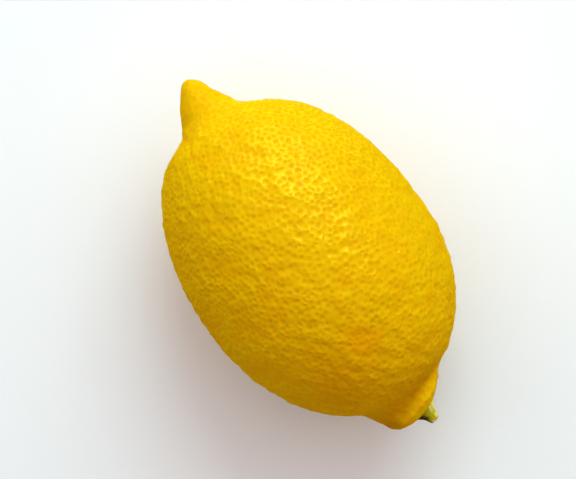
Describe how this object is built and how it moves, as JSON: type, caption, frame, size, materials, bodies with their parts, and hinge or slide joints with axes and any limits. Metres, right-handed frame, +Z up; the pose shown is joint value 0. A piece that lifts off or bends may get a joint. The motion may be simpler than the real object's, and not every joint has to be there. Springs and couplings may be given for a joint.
{
  "type": "whole lemon",
  "caption": "Whole ripe lemon lying on its side, with pitted yellow peel, a pointed nipple, and a short neck that holds a green stem button with its cut stalk.",
  "frame": {"origin": "on the resting surface, under the middle of the lemon's length and width", "axes": "+X along the fruit towards the stem end, +Y across it, +Z up from the resting surface"},
  "size_m": [0.0995, 0.0588, 0.0585],
  "materials": {
    "peel": "waxy satin peel with oil pits",
    "button": "dull, dry and faintly ribbed"
  },
  "bodies": {
    "root": {"fruit": "peel", "stem_button": "button"}
  },
  "joints": []
}
